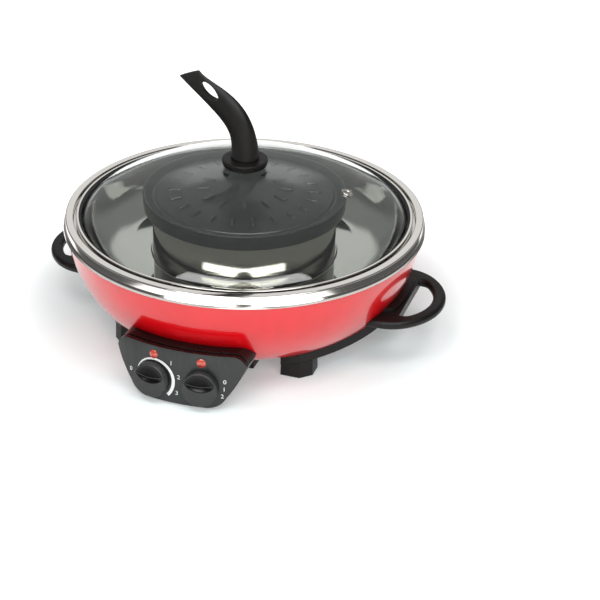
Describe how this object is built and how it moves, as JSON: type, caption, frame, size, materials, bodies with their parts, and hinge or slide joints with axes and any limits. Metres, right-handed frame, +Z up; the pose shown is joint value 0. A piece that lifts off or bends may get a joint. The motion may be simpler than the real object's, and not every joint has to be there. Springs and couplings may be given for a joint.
{
  "type": "electric hot pot with centre grill",
  "caption": "Round electric hot pot: red bowl, steel ring trough round a raised centre grill plate, lift-off glass dome lid with leaning handle, loop side handles and front dial panel",
  "frame": {"origin": "on the table top, under the axis of the round pot and in the middle of the four feet", "axes": "+Z up along the pot's axis; -Y towards the control panel, so the cord leaves along +Y; +X to the right-hand side handle of a person who faces the panel"},
  "size_m": [0.45, 0.4062, 0.2832],
  "materials": {
    "red_enamel": "gloss red coating on pressed sheet",
    "polished_steel": "polished stainless sheet",
    "brushed_steel": "stainless sheet, brushed round",
    "cast_coating": "die casting under a dark grey non-stick coating",
    "glass": "clear tempered glass",
    "silicone": "black silicone",
    "black_plastic": "black heat-resistant moulding, satin",
    "face_moulding": "dark grey panel, satin",
    "knob_moulding": "black knob, satin",
    "lamp_red": "translucent red lamp lens",
    "foot_rubber": "black rubber",
    "screw_steel": "zinc-plated steel",
    "element_steel": "sheathed tube, heat-tinted",
    "plain_aluminium": "mill finish",
    "ceramic": "off-white ceramic or thermoset"
  },
  "bodies": {
    "base": {"outer_bowl": "red_enamel", "inner_pot": "polished_steel", "grill_column": "brushed_steel", "side_handle_right": "black_plastic", "side_handle_left": "black_plastic", "foot_front_right": "black_plastic", "foot_front_left": "black_plastic", "foot_rear_right": "black_plastic", "foot_rear_left": "black_plastic", "foot_pads": "foot_rubber", "foot_screws": "screw_steel", "base_cover": "black_plastic", "cover_screws": "screw_steel", "cord_gland": "foot_rubber", "control_housing": "face_moulding", "control_face": "face_moulding", "thermostat": "ceramic", "grill_switch": "black_plastic", "hotpot_lamp_lens": "lamp_red", "hotpot_lamp_holder": "ceramic", "grill_lamp_lens": "lamp_red", "grill_lamp_holder": "ceramic", "heat_spreader": "plain_aluminium", "hotpot_element": "element_steel", "element_clamps": "screw_steel", "thermal_cutout": "ceramic", "grill_reflector": "plain_aluminium", "grill_element": "element_steel", "element_posts": "ceramic", "terminal_block": "ceramic"},
    "lid": {"lid_glass": "glass", "lid_band": "polished_steel", "lid_seal": "silicone", "vent_eyelet": "polished_steel", "lid_handle_collar": "black_plastic", "lid_handle": "black_plastic", "lid_screw_washer": "silicone", "lid_handle_screw": "screw_steel"},
    "plate": {"grill_plate": "cast_coating"},
    "hotpot_dial": {"hotpot_knob": "knob_moulding", "hotpot_knob_shaft": "screw_steel"},
    "grill_dial": {"grill_knob": "knob_moulding", "grill_knob_shaft": "screw_steel"}
  },
  "joints": [
    {"name": "lid_lift", "type": "slide", "parent": "base", "child": "lid", "axis": [0, 0, 1], "range_m": [0, 0.2]},
    {"name": "grill_plate_lift", "type": "slide", "parent": "base", "child": "plate", "axis": [0, 0, 1], "range_m": [0, 0.09]},
    {"name": "hotpot_dial_turn", "type": "hinge", "parent": "base", "child": "hotpot_dial", "pos_m": [-0.02601, -0.19759, 0.026], "axis": [0.1302, 0.989, -0.0698], "range_deg": [0, 225]},
    {"name": "grill_dial_turn", "type": "hinge", "parent": "base", "child": "grill_dial", "pos_m": [0.02601, -0.19759, 0.026], "axis": [-0.1302, 0.989, -0.0698], "range_deg": [0, 50]}
  ],
  "couplings": [
    {"joint": "grill_plate_lift", "follows": "lid_lift", "ratio": 0.45}
  ]
}
